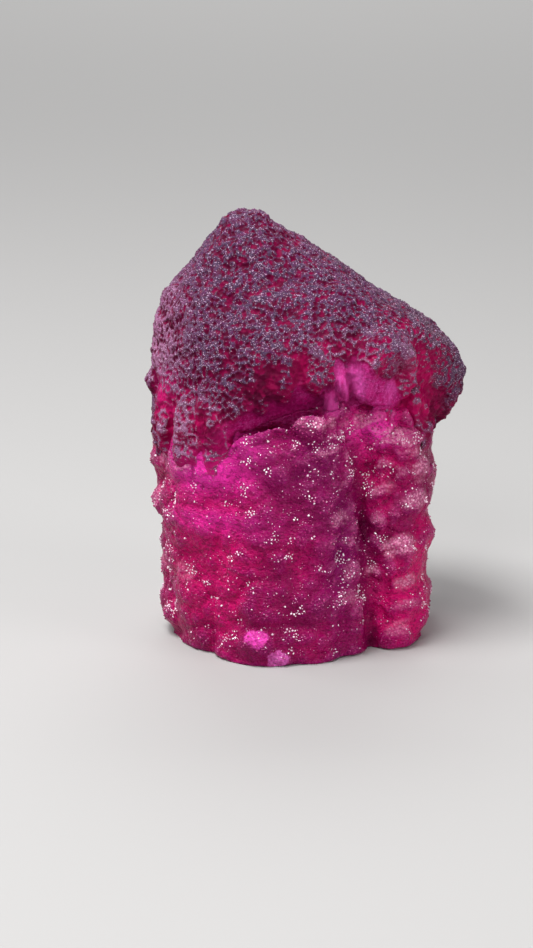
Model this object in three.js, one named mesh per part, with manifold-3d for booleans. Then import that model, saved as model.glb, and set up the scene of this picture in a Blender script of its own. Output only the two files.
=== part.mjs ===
// A rubellite, the red tourmaline, of the mushroom habit: a stem of ribbed crystals grown side by side, under a
// crusted cap that rises to an off-centre peak and overhangs the stem. It grew as one piece, so it is one solid.
// Millimetres, +Z up. The flat foot stands on Z = 0. The front is -Y, and azimuths turn from it towards +X.
import * as THREE from "three";
import { ImprovedNoise } from "three/addons/math/ImprovedNoise.js";
import { mergeVertices } from "three/addons/utils/BufferGeometryUtils.js";
import Module from "manifold-3d";

const wasm = await Module();
wasm.setup();

// Driving dimensions of the stem
const foot = { sunk: 1.5, roundedTo: 3.0, inset: 0.5 }; // crystals run below Z = 0, then the foot is cut flat
const ribSteps = 3; // rings of faces in each rib
const faceWidth = 1.6; // of the stem's faces, round a crystal
const dome = { height: 1.6, rings: 3 }; // the rounded top of each crystal
const bead = { size: 4.3, height: 1.3 }; // lumps all over the stem
const sway = 0.8; // how far a crystal strays from upright

// The upright crystals: centre at mid height, half sizes in plan, height of the top, and how far the top leans.
// Their ribs are steps of growth: the pitch, the height of the first crease, how far a rib swells, and how much it
// climbs towards +X.
const crystals = [
  { at: [-12.1, -1.4], half: [4.1, 6.3], top: 24.5, pitch: 4.4, first: 1.4, swell: 0.6, climb: 0.1, lean: [-2.4, 0] },
  { at: [-8.6, -6.6], half: [6.6, 6.0], top: 25, pitch: 5.5, first: 2.2, swell: 0.4, climb: -0.16, lean: [-0.8, -2.2] },
  { at: [-4.5, -9.4], half: [5.9, 5.9], top: 29.2, pitch: 3.7, first: 0.9, swell: 0.2, climb: -0.1, lean: [0, 1.4] },
  { at: [-0.3, -9.5], half: [4.8, 5.4], top: 29.7, pitch: 3.4, first: 1.9, swell: 0.2, climb: 0.05, lean: [0, 1] },
  { at: [2.7, -7.6], half: [3.8, 5.2], top: 29.2, pitch: 3.3, first: 0.5, swell: 0.2, climb: 0.1, lean: [-2, 0] },
  { at: [8.4, -4.7], half: [3, 5.3], top: 29.4, pitch: 3.7, first: 3.1, swell: 0.6, climb: 0.3, lean: [-1.6, 0] },
  { at: [9.8, -3.4], half: [3.8, 6.3], top: 26, pitch: 7.4, first: 6.8, swell: 1.2, climb: 0.35 },
  { at: [8.8, 4.2], half: [4.8, 5.2], top: 25, pitch: 4.2, first: 0.6, swell: 0.55, climb: 0.2 },
  { at: [4.4, 8.0], half: [5.6, 5.0], top: 26, pitch: 4.7, first: 1.8, swell: 0.55, climb: -0.2 },
  { at: [-3.0, 8.9], half: [5.6, 4.9], top: 25.5, pitch: 4.1, first: 2.7, swell: 0.5, climb: 0.15 },
  { at: [-9.6, 6.6], half: [5.4, 5.4], top: 24.5, pitch: 4.9, first: 0.9, swell: 0.6, climb: -0.15 },
];
const core = { at: [-1.2, -0.6], half: [11, 10], top: 28, pitch: 8, first: 0, swell: 0, climb: 0 };

// Driving dimensions of the cap. Its tables run every 30 degrees from the front: the hem and the shoulder, as
// radius from the cap's axis and as height. The underside runs back and down from the hem into the stem.
const capAxis = { x: -1, y: -0.5 };
const peak = { x: -6.8, y: -2, z: 49.6, reach: 2.3, drop: 1.0 };
const hemRadius = [13.6, 12.9, 13.2, 15.2, 15.0, 14.6, 14.2, 15.0, 15.8, 16.0, 16.0, 15.2];
const hemHeight = [29.6, 30.6, 27.6, 23.8, 24.2, 25.2, 24.6, 23.8, 23.2, 22.6, 22.9, 24.4];
const shoulderRadius = [12.4, 12.4, 15.4, 19.1, 17.6, 15.8, 14.8, 14.6, 14.9, 15.6, 15.5, 13.7];
const shoulderHeight = [36.4, 37.6, 36.0, 31.4, 33.4, 34.9, 36.4, 37.6, 38.4, 38.0, 37.0, 36.0];
const underside = { back: 3.4, down: 2.6 };
const capRings = 25;
const capSegments = 72;

// Knobs and fingers of crust: on the peak and the left shoulder, down the hem, and where the right crystals meet
// the cap.
const knobs = [
  { at: [-6.9, -2.0, 46.6], half: [3.3, 3.1, 3.3] },
  { at: [-13.3, 1.6, 37.0], half: [3.8, 4.4, 5.0] },
  { at: [-17.0, -1.2, 29.9], half: [1.5, 2.4, 2.2] },
  { at: [-15.4, -6.8, 27.0], half: [1.9, 2.6, 4.0], turn: [0, 4, 0] },
  { at: [-13.0, -10.2, 26.8], half: [1.6, 2.5, 3.8], turn: [0, -6, 0] },
  { at: [-10.6, -12.0, 26.8], half: [1.7, 2.5, 3.9], turn: [0, -16, 0] },
  { at: [-8.0, -12.2, 29.8], half: [2.0, 2.2, 3.6], turn: [0, -30, 0] },
  { at: [-16.9, -1.0, 23.9], half: [1.1, 2.8, 2.8] },
  { at: [3.4, -8.4, 36.4], half: [4.9, 3.9, 3.6], turn: [0, 20, 0] },
  { at: [11.4, -5.6, 27.8], half: [2.6, 3.6, 4.2], turn: [0, 12, 0] },
];

// The hollow under the hem in front, and the narrow gap at its foot.
const hollow = { at: [-2.3, -14.1, 29.5], half: [8.0, 3.1, 1.35], turn: [-57, -27, 0], detail: 4, rough: 0.05 };
const gap = { at: [-3.0, -12.4, 27.6], half: [6.4, 1.7, 0.55], turn: [-57, -30, 0], rough: 0.05 };

// The lobe at the right of the front, broken off below in two flat faces that meet in an edge.
const lobe = { at: [7.7, -8.8, 33.5], half: [4.5, 6.0, 5.0], detail: 3, rough: 0.1 };
const breaks = [
  { inward: [10.0, 12.2, 2.5], through: [6.9, -14.5, 33.8] },
  { inward: [-15.7, 21.6, 10.5], through: [6.9, -14.5, 33.8] },
];
const recess = { at: [4.9, -13.6, 30.9], half: [0.9, 2.4, 2.8], turn: [0, -12, 0], detail: 1 }; // beside it on the left

// A short crystal and a sliver that stand in the corner between the hollow and the lobe.
const stub = { at: [2.4, -12.6, 29.9], half: [0.75, 0.75, 2.4], turn: [0, -8, 20] };
const sliver = { at: [3.7, -11.8, 32.3], half: [0.8, 1.8, 2.7], turn: [0, -14, 0] };

// A chipped patch and a nodule low on the front.
const chip = { at: [-5.6, -15.7, 3.1], half: [1.6, 0.6, 1.3], detail: 1 };
const nodule = { at: [-3.3, -15.5, 0.9], half: [1.0, 0.9, 0.9], detail: 1 };

const noise = new ImprovedNoise();
const radians = THREE.MathUtils.degToRad;

// Smooth noise, about -1 to 1. The salt moves the pattern, so that no two uses look alike.
const waver = (p, size, salt) => noise.noise(p.x / size + salt, p.y / size - salt, p.z / size + 2 * salt);

// The value at an azimuth, smoothly, from values given at equal steps all round, the first at the front.
function around(values, azimuth) {
  const at = THREE.MathUtils.euclideanModulo(azimuth / (2 * Math.PI), 1) * values.length;
  const step = Math.floor(at);
  const [a, b, c, d] = [-1, 0, 1, 2].map((k) => values[(step + k + values.length) % values.length]);
  const f = at - step;
  return b + 0.5 * f * (c - a + f * (2 * a - 5 * b + 4 * c - d + f * (3 * (b - c) + d - a)));
}

// Rounded lumps that meet in creases: 1 on a lump's crown, down to about 0 between lumps.
function lumps(p, size, salt) {
  const cell = new THREE.Vector3(p.x, p.y, p.z).divideScalar(size);
  const corner = cell.clone().floor();
  let nearest = 9;
  for (let i = -1; i <= 1; i++)
    for (let j = -1; j <= 1; j++)
      for (let k = -1; k <= 1; k++) {
        const at = corner.clone().add({ x: i, y: j, z: k });
        const jitter = (s) => 0.5 + 0.75 * noise.noise(at.x * 5.37 + s, at.y * 7.13 + salt, at.z * 6.29 - s);
        nearest = Math.min(nearest, at.add({ x: jitter(0.4), y: jitter(3.7), z: jitter(8.1) }).distanceTo(cell));
      }
  return Math.sqrt(Math.max(0, 1 - nearest ** 2));
}

// A three.js geometry as a solid, and back.
function solid(geometry) {
  geometry.deleteAttribute("normal");
  geometry.deleteAttribute("uv");
  const merged = mergeVertices(geometry, 1e-4);
  const vertProperties = merged.getAttribute("position").array;
  return new wasm.Manifold(new wasm.Mesh({ numProp: 3, vertProperties, triVerts: merged.index.array }));
}

function geometryOf(made) {
  const { vertProperties, triVerts } = made.getMesh();
  return new THREE.BufferGeometry()
    .setAttribute("position", new THREE.BufferAttribute(vertProperties, 3))
    .setIndex(new THREE.BufferAttribute(triVerts, 1));
}

// A closed skin of rings round Z. place(ring, azimuth) gives its points. Ring 0 and the last ring are single
// points. The others stray a little from the grid, as the faces of a natural thing do.
function skin(rings, segments, place) {
  const profile = Array.from({ length: rings + 1 }, (_, i) => new THREE.Vector2(i % rings ? 1 : 0, i));
  const geometry = new THREE.LatheGeometry(profile, segments);
  const points = geometry.getAttribute("position");
  const stray = (x, y, z) => 0.5 * noise.noise(7.3 * x + 0.5, 1.7 * y + 0.3, 7.3 * z + 0.7);
  for (let i = 0; i < points.count; i++) {
    const [x, ring, z] = [points.getX(i), points.getY(i), points.getZ(i)];
    const onEnd = ring === 0 || ring === rings;
    const azimuth = Math.atan2(x, z) + (stray(z, ring, x) * 2 * Math.PI) / segments;
    const p = place(onEnd ? ring : ring + stray(x, ring, z), azimuth);
    points.setXYZ(i, p.x, p.y, p.z);
  }
  return solid(geometry);
}

// Moves a geometry built round the origin into place: stretched, then turned by degrees, then moved.
function placed(geometry, { at, half, turn = [0, 0, 0] }) {
  const turned = new THREE.Quaternion().setFromEuler(new THREE.Euler(...turn.map(radians), "YXZ"));
  const matrix = new THREE.Matrix4().compose(new THREE.Vector3(...at), turned, new THREE.Vector3(...half));
  return solid(geometry.applyMatrix4(matrix));
}

// A faceted ball with a rough surface, of the given half sizes.
function knob({ detail = 2, rough = 0.15, ...place }) {
  const geometry = new THREE.IcosahedronGeometry(1, detail);
  const points = geometry.getAttribute("position");
  const p = new THREE.Vector3();
  for (let i = 0; i < points.count; i++) {
    p.fromBufferAttribute(points, i);
    p.multiplyScalar(1 + rough * waver(p, 0.6, place.at[0]));
    points.setXYZ(i, p.x, p.y, p.z);
  }
  return placed(geometry, place);
}

function crystal({ at: [x, y], half: [halfWidth, halfDepth], top, pitch, first, swell, climb, lean = [0, 0] }) {
  const rise = pitch / ribSteps;
  const start = first - pitch * Math.ceil((first + foot.sunk) / pitch);
  const wallRings = Math.round((top - dome.height - start) / rise);
  const rings = wallRings + dome.rings;
  const segments = Math.round((Math.PI * (halfWidth + halfDepth)) / faceWidth);
  return skin(rings, segments, (ring, azimuth) => {
    const bend = radians(90) * Math.max(0, (ring - wallRings) / dome.rings);
    const z = start + Math.min(ring, wallRings) * rise + dome.height * Math.sin(bend);
    const [across, along] = lean.map((shift) => shift * (z / top - 0.5));
    if (ring === 0 || ring === rings) return { x: x + across, y: y + along, z };
    const radius = 1 / Math.hypot(Math.sin(azimuth) / halfWidth, Math.cos(azimuth) / halfDepth);
    const flat = { x: x + radius * Math.sin(azimuth), y: y - radius * Math.cos(azimuth), z };
    const rib = swell * (0.8 + waver(flat, 9, y)) * Math.abs(Math.sin((Math.PI * (z - first)) / pitch));
    const beads = swell && bead.height * (lumps(flat, bead.size, x) - 0.6);
    const footInset = foot.inset * THREE.MathUtils.clamp(1 - z / foot.roundedTo, 0, 1) ** 2;
    const out = radius + rib + beads - footInset - dome.height * (1 - Math.cos(bend));
    return {
      x: x + across + sway * waver({ x, y, z }, 9, 2) + out * Math.sin(azimuth),
      y: y + along - out * Math.cos(azimuth),
      z: z + climb * (flat.x - x) + 0.6 * waver(flat, 5, x + y),
    };
  });
}

function capProfile(azimuth) {
  const at = (centre, radius, z) =>
    new THREE.Vector3(centre.x + radius * Math.sin(azimuth), centre.y - radius * Math.cos(azimuth), z);
  const hem = [around(hemRadius, azimuth), around(hemHeight, azimuth)];
  const shoulder = [around(shoulderRadius, azimuth), around(shoulderHeight, azimuth)];
  const underHem = [hem[0] - underside.back, hem[1] - underside.down];
  const besidePeak = at(peak, peak.reach, peak.z - peak.drop);
  const side = at(capAxis, (hem[0] + shoulder[0]) / 2 + 0.5, (hem[1] + shoulder[1]) / 2);
  const slope = at(capAxis, ...shoulder).lerp(besidePeak, 0.5);
  slope.z += 0.5;
  const points = [
    at(capAxis, 0, 20),
    at(capAxis, ...underHem),
    at(capAxis, ...hem),
    side,
    at(capAxis, ...shoulder),
    slope,
    besidePeak,
    at(peak, 0, peak.z),
  ];
  return new THREE.CatmullRomCurve3(points, false, "centripetal");
}

function cap() {
  return skin(capRings, capSegments, (ring, azimuth) => {
    const profile = capProfile(azimuth);
    const height = ring / capRings;
    const p = profile.getPointAt(height);
    if (ring === 0 || ring === capRings) return p;
    const across = new THREE.Vector3(Math.cos(azimuth), Math.sin(azimuth), 0);
    const outwards = across.cross(profile.getTangentAt(height)).normalize();
    const relief = 1.1 * (lumps(p, 3.6, 1) - 0.6) + 0.8 * waver(p, 8, 5);
    return p.addScaledVector(outwards, relief * Math.min(1, 8 * (1 - height)));
  });
}

function brokenLobe() {
  return breaks.reduce((left, { inward, through }) => {
    const normal = new THREE.Vector3(...inward).normalize();
    return left.trimByPlane(normal.toArray(), normal.dot(new THREE.Vector3(...through)));
  }, knob(lobe));
}

function sixSided(place) {
  return placed(new THREE.CylinderGeometry(0.8, 1, 1, 6).rotateX(radians(90)), place);
}

const joined = (solids) => solids.reduce((all, next) => all.add(next));

function build() {
  return joined([cap(), ...knobs.map(knob), crystal(core), ...crystals.map(crystal)])
    .subtract(knob(hollow))
    .subtract(knob(gap))
    .subtract(knob(recess))
    .add(joined([brokenLobe(), sixSided(stub), knob(sliver), knob(chip), knob(nodule)]))
    .trimByPlane([0, 0, 1], 0);
}

// Its middle in plan goes to X = Y = 0.
const grown = geometryOf(build());
grown.computeBoundingBox();
const middle = grown.boundingBox.getCenter(new THREE.Vector3());
grown.translate(-middle.x, -middle.y, 0);

const rubellite = new THREE.Mesh(
  grown,
  new THREE.MeshStandardMaterial({ color: 0xa8114f, roughness: 0.35, metalness: 0 }),
);
rubellite.name = "rubellite";

const part = new THREE.Group();
part.add(rubellite);
export default part;
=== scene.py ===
import math

import bmesh
import bpy
import numpy as np
from mathutils import Euler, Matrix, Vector, noise


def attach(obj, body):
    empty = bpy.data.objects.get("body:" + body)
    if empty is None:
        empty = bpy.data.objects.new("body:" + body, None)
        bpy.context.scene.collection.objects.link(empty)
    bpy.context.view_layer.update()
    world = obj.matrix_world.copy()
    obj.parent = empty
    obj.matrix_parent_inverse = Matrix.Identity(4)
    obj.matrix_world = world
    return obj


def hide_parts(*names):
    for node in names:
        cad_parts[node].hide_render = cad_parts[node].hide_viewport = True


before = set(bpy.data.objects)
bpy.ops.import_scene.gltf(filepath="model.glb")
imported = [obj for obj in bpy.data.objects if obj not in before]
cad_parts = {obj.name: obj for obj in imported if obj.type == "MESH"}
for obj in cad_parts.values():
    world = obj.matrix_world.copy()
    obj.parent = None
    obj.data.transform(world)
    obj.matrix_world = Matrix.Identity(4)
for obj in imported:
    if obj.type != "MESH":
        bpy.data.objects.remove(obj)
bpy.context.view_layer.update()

mm = 0.001
scene = bpy.context.scene
print("frame loaded")


# camera

view = {
    "place": (-4.63 * mm, -303.4 * mm, 100.69 * mm),
    "downwards": 15.17,  # degrees below level
    "lens": 102.53,
    "sensor": 36,
    "nearest": 0.01,
}


def addCamera(view):
    data = bpy.data.cameras.new("camera")
    data.lens = view["lens"]
    data.sensor_width = view["sensor"]
    data.clip_start = view["nearest"]
    camera = bpy.data.objects.new("camera", data)
    camera.location = view["place"]
    camera.rotation_euler = (math.radians(90 - view["downwards"]), 0, 0)
    scene.collection.objects.link(camera)
    scene.camera = camera


addCamera(view)
scene.view_settings.view_transform = "Standard"
print("camera placed")


# where each kind of surface lies, in millimetres in the part's frame. "edge" is where a place starts
# to fade and where it ends, and 1 is the skin of its ellipsoid

cap = {
    "axis": (-1.03, 0.2),
    # its hem's height every 30 degrees from the front
    "hem": [29.8, 30.2, 25.4, 23.6, 24.0, 25.0, 24.4, 23.6, 23.0, 22.4, 22.9, 24.2],
    "ragged": 0.6,
    "hang": 1.3,  # how much lower it is at a finger
    "fingers": (1.9, 1.6),  # their width and how marked they are
    "fingerStretch": (1, 1, 0.22),
    "end": -0.6,  # the crust's mesh ends where it reaches over the stem's by this
    "overInner": 2.4,  # and reaches this much further over the lobe and into the hollow
}
lobe = {
    "at": (7.67, -8.08, 33.5),
    "half": (4.5, 6.0, 5.0),
    "edge": (1.0, 1.12),
    "ridge": (6.87, -13.78, 33.8),  # a point on the edge between the two broken faces
    "inward": [(10.0, 12.2, 2.5), (-15.7, 21.6, 10.5)],
    "skin": (0.3, 0.9),  # how near to those faces it counts as broken
    "crusted": ([6.9, 7.6, 9.6, 10.6], [34.3, 32.5, 32.2, 29.0]),  # height of the crust's edge across it
    "fade": (0.8, -0.8),  # from that height to the bare break
    "rim": [  # its right-hand edge, from the top down
        (10.1, -11.9, 36.1),
        (10.9, -11.3, 34.8),
        (11.3, -10.4, 33.3),
        (11.2, -9.6, 31.6),
        (10.5, -9.5, 30.1),
    ],
    "rimWidth": (1.2, 0.3),  # where it starts and where it is whole
}
sliver = {"at": (3.67, -11.08, 32.3), "half": (0.8, 1.8, 2.7), "turn": (0, -14, 0), "edge": (1.1, 1.25)}
stub = {"at": (2.37, -11.88, 29.9), "half": (0.95, 0.95, 2.8), "turn": (0, -8, 0), "edge": (1.05, 1.2)}
nook = {"at": (5.0, -11.2, 30.0), "half": (1.3, 1.6, 1.5), "edge": (0.9, 1.1)}  # between stub and lobe
chip = {"at": (-5.6, -15.0, 3.1), "half": (1.55, 1.0, 1.2), "turn": (0, 12, 0), "edge": (0.95, 1.15)}
nodule = {"at": (-3.3, -15.1, 0.9), "half": (1.15, 1.3, 1.0), "edge": (1.0, 1.2)}
bosses = [
    # place, half sizes, tilt, how far it rises, how much painted sheen it takes
    # on the right column
    ((9.8, -9.7, 25.2), (1.9, 2.0, 1.4), 0, 0.4, 1.0),
    ((11.4, -9.0, 23.8), (1.0, 1.8, 1.6), 0, 0.2, 1.0),
    ((9.1, -9.2, 22.0), (1.1, 1.5, 0.8), 0, 0.3, 0.7),
    ((12.8, -7.7, 21.5), (1.5, 2.0, 1.9), 0, 0.3, 1.0),
    ((8.2, -9.9, 18.9), (2.0, 1.5, 0.8), 35, 0.5, 0.6),
    ((12.3, -8.9, 17.3), (2.0, 2.0, 1.7), 0, 0.4, 1.0),
    ((7.9, -9.7, 15.6), (0.8, 1.2, 1.2), 0, 0.35, 0.5),
    ((10.6, -9.7, 12.6), (2.9, 2.0, 1.3), 12, 0.5, 1.0),
    ((7.6, -9.6, 9.5), (0.8, 1.2, 0.9), 0, 0.4, 0.6),
    ((11.2, -8.8, 8.0), (1.9, 2.0, 0.9), 10, 0.4, 0.8),
    ((11.3, -9.1, 5.4), (1.6, 1.8, 0.8), 0, 0.3, 0.4),
    ((10.6, -9.6, 2.8), (2.0, 1.8, 0.9), 12, 0.3, 0.4),
    ((14.0, -4.0, 12.4), (1.8, 3.0, 1.6), 0, 0.6, 0.5),
    # beside the groove
    ((4.2, -11.8, 20.2), (1.4, 1.6, 1.0), 0, 0.3, 0.4),
    ((3.4, -12.6, 16.6), (1.9, 1.8, 1.0), 0, 0.3, 0.7),
    ((4.6, -12.0, 13.6), (1.2, 1.5, 0.8), 0, 0.3, 0.3),
    ((5.2, -11.8, 10.6), (1.3, 1.5, 1.0), 0, 0.3, 0.3),
    ((4.4, -12.4, 7.2), (1.6, 1.5, 1.1), 0, 0.3, 0.4),
    ((5.8, -11.6, 4.6), (1.0, 1.3, 0.9), 0, 0.25, 0.3),
    # down the left edge
    ((-16.4, -5.6, 21.6), (1.2, 2.5, 1.4), 0, 0.25, 0.7),
    ((-14.0, -11.3, 22.8), (1.2, 1.6, 1.7), 0, 0.3, 0.8),
    ((-17.0, -4.0, 16.6), (1.2, 3.0, 1.6), 0, 0.6, 0.6),
    ((-16.3, -3.6, 9.0), (1.2, 3.0, 1.3), 0, 0.25, 0.6),
    ((-14.0, -9.5, 9.6), (1.5, 2.0, 1.2), 0, 0.15, 0.5),
    ((-15.5, -7.0, 5.0), (1.3, 2.5, 1.2), 0, 0.3, 0.4),
    # along the lip
    ((-7.0, -13.9, 25.4), (0.8, 1.3, 0.8), 0, 0.35, 0.0),
    ((-4.8, -14.3, 26.4), (0.9, 1.3, 0.8), 0, 0.4, 0.0),
    ((-0.8, -13.9, 28.0), (0.9, 1.3, 0.8), 0, 0.35, 0.5),
    ((1.0, -13.9, 27.6), (1.0, 1.3, 0.9), 0, 0.35, 0.9),
    ((2.9, -13.2, 28.0), (0.9, 1.3, 0.8), 0, 0.35, 0.6),
    ((4.6, -12.2, 27.6), (0.9, 1.3, 0.9), 0, 0.4, 0.5),
    ((6.6, -9.8, 27.2), (1.4, 1.8, 1.2), 0, 0.5, 1.0),
    ((8.8, -9.4, 25.8), (1.2, 1.6, 0.9), 0, 0.3, 1.0),
]
groove = {
    "line": ([0.9, 7.5, 14.9, 20.4, 25.0], [7.4, 6.7, 6.2, 5.7, 4.9]),  # heights, and how far right it is
    "width": (1.05, 0.1),  # where it starts and where it is whole, on both sides of that line
    "ragged": 0.25,
    "front": (-7.0, -8.5),  # as y
    "top": (26.0, 24.0),
    "deep": 0.4,
    "calm": 0.7,  # how much flatter the relief is in it
}
wall = {
    "at": (-3.2, -12.97, 30.4),  # the ceiling and back of the hollow
    "half": (9.0, 4.0, 2.2),
    "turn": (-57, -27, 0),
    "edge": (0.95, 1.2),
    "facing": (0.45, 0.1),  # it looks level or down
    "slit": ([-9.0, -7.6, -5.1, -1.2, 1.3, 3.5], [24.8, 25.9, 27.2, 28.6, 28.9, 29.1]),  # its foot
    "tall": (1.2, 3.3),  # millimetres over the slit where frost sets in and where it is whole
}
lip = {
    # where it starts and where it is whole
    "under": (0.2, -0.2),  # millimetres over the slit
    "left": (-9.0, -8.0),
    "right": (5.0, 4.0),
    "front": (-9.0, -10.0),
    "end": 1.5,  # how far short of it the crust ends
}
spots = {
    # place, half sizes, strength
    "glow": [  # painted glow: brighter colour painted where light comes through from behind
        ((-10.5, -11.07, 22.0), (5.5, 6.0, 2.6), 0.95),
        ((-10.0, -11.57, 16.4), (6.0, 6.0, 1.5), 0.55),
        ((-7.6, -12.57, 25.0), (3.8, 4.0, 2.1), 0.55),
        ((-16.0, -5.57, 30.5), (2.0, 4.0, 2.5), 0.5),
        ((7.6, -10.4, 26.2), (3.4, 3.5, 2.4), 0.75),
    ],
    "clear": [  # brighter red, less clouded; the spot over the beads under the lobe is painted light where the lobe and the nose shade them
        ((-11.0, -10.57, 10.0), (8.0, 8.0, 12.0), 0.8),
        ((-13.0, -7.57, 27.0), (5.0, 6.0, 4.0), 1.0),
        ((11.5, -6.57, 7.0), (5.0, 8.0, 9.0), 0.9),
        # painted light on the beads that the lobe and the nose overhang
        ((8.5, -8.57, 24.0), (5.0, 5.0, 5.0), 1.0),
        ((13.0, -8.57, 31.0), (5.0, 5.0, 6.0), 1.0),
        ((-4.0, -11.57, 44.0), (6.0, 5.0, 4.0), 0.25),
        ((1.0, -13.0, 34.0), (5.0, 3.0, 3.5), 0.5),
        ((8.0, -13.5, 35.0), (3.0, 3.0, 3.0), 0.6),
    ],
    "lilac": [  # painted lilac sheen on breaks that face the light
        ((5.1, -12.57, 32.0), (1.5, 1.6, 2.4), 1.0),
        ((2.5, -12.0, 29.4), (1.1, 1.1, 1.5), 1.0),
        ((3.4, -12.57, 32.6), (0.7, 1.5, 2.5), 0.5),
        ((9.3, -11.17, 31.3), (0.8, 1.2, 2.4), 0.4),
    ],
    "coated": [  # frost on faces that look down
        ((16.8, -3.6, 31.4), (3.2, 3.4, 3.4), 0.7),
        ((8.8, -12.4, 34.2), (2.8, 2.5, 1.8), 0.3),
    ],
    "bare": [  # little frost on the crust
        ((12.0, -9.57, 31.0), (2.0, 5.0, 4.5), 0.6),
        ((12.5, -8.57, 26.0), (4.0, 6.0, 4.0), 0.3),
        ((-10.0, -11.57, 25.5), (6.5, 6.0, 3.5), 0.45),
        ((-16.5, -5.57, 29.5), (2.0, 4.0, 2.0), 0.7),
        ((-2.0, -13.57, 32.5), (8.0, 4.0, 2.5), 0.45),
        ((3.0, -13.0, 35.5), (3.5, 3.0, 2.5), 0.35),
        ((8.0, -13.5, 36.0), (2.5, 3.0, 1.8), 0.2),
        ((-3.0, -8.57, 43.0), (5.0, 6.0, 4.0), 0.12),
    ],
    "beaded": [  # strongly beaded and sugary
        ((3.0, -13.0, 25.0), (6.0, 5.0, 3.6), 1.0),
        ((9.0, -10.0, 24.0), (4.5, 5.0, 4.5), 1.0),
        ((10.0, -9.0, 14.0), (3.0, 4.0, 4.0), 0.4),
        ((4.5, -12.0, 12.0), (3.0, 4.0, 8.0), 0.6),
        ((-16.0, -6.0, 14.0), (3.0, 7.0, 10.0), 0.5),
    ],
    "walled": [  # painted shade deep in the hollow and in the nooks beside the lobe
        ((-2.0, -12.5, 29.2), (8.0, 3.5, 2.3), 0.95),
        ((4.2, -10.5, 29.6), (1.0, 2.0, 2.0), 0.9),
        ((4.7, -11.6, 31.2), (0.7, 1.4, 2.0), 0.9),
        ((5.0, -11.0, 30.0), (1.3, 1.6, 1.2), 0.9),
        ((2.2, -12.4, 31.9), (1.1, 1.4, 1.0), 0.9),
        ((3.6, -12.6, 30.6), (0.9, 1.2, 0.9), 0.8),
    ],
    "dull": [  # greyer, darker frost: painted shade on the flanks turned from the light
        ((15.0, -2.0, 38.0), (7.0, 12.0, 9.0), 0.9),
        ((4.0, 2.0, 44.0), (5.0, 7.0, 4.0), 0.5),
    ],
    "blush": [  # pinker, paler frost: painted light where the crust faces the lamps, and more frost there
        ((-16.6, -2.0, 34.5), (4.0, 9.0, 8.0), 1.0),
        ((-13.0, -9.0, 26.5), (6.5, 6.0, 4.5), 1.0),
        ((4.0, -13.0, 36.0), (5.0, 4.0, 3.0), 0.35),
        ((6.0, -13.2, 34.9), (1.6, 2.0, 1.1), 1.0),
        ((-1.0, -1.0, 49.0), (4.0, 4.0, 3.0), 0.3),
        ((11.0, -10.5, 33.0), (2.0, 3.0, 4.0), 0.8),
        ((12.0, -9.0, 28.0), (4.0, 5.0, 5.0), 0.6),
    ],
    "violet": [
        ((1.0, -12.5, 24.0), (5.0, 5.0, 5.0), 0.8),
        ((3.4, -12.0, 12.5), (3.4, 4.0, 11.0), 1.0),
    ],
}


def smoothStep(low, high, x):
    t = np.clip((x - low) / (high - low), 0, 1)
    return t * t * (3 - 2 * t)


def insideOf(p, place):
    # 0 at the middle of an ellipsoid, 1 on its skin
    turn = Euler([math.radians(a) for a in place.get("turn", (0, 0, 0))], "YXZ").to_matrix()
    local = (p - np.array(place["at"])) @ np.array(turn)
    return np.linalg.norm(local / np.array(place["half"]), axis=1)


def within(p, place, ragged=0.0):
    # 1 inside a place, falling to 0 across its edge
    return 1 - smoothStep(*place["edge"], insideOf(p, place) + ragged)


def hemHeight(p):
    steps = len(cap["hem"])
    around = np.arctan2(p[:, 0] - cap["axis"][0], -(p[:, 1] - cap["axis"][1])) / (2 * np.pi) * steps
    return np.interp(around % steps, range(steps + 1), cap["hem"] + cap["hem"][:1])


def wander(p, size, salt):
    # smooth noise from -1 to 1 at each point
    shift = np.array([salt, -salt, 2 * salt])
    return np.array([noise.noise(q) for q in p / size + shift])


def knobs(p, size, salt):
    # rounded knobs that meet in creases: about 0.3 on a crown and -0.4 in a crease
    shift = np.array([salt, 2 * salt, -salt])
    return 0.3 - np.array([noise.voronoi(q)[0][0] for q in p / size + shift]) ** 2


def fingers(p):
    # streaks down the cap's flanks, from -1 to 1
    width, marked = cap["fingers"]
    return np.clip(marked * wander(p * np.array(cap["fingerStretch"]), width, 7), -1, 1)


def aboveHem(p):
    # millimetres above the ragged hem of the crust, which hangs lower at each finger
    return p[:, 2] - hemHeight(p) + cap["ragged"] * wander(p, 1.2, 4) + cap["hang"] * fingers(p)


def inGroove(p):
    away = np.abs(p[:, 0] - np.interp(p[:, 2], *groove["line"])) + groove["ragged"] * wander(p, 1.2, 19)
    inFront = smoothStep(*groove["front"], p[:, 1]) * smoothStep(*groove["top"], p[:, 2])
    return smoothStep(*groove["width"], away) * inFront


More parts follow.
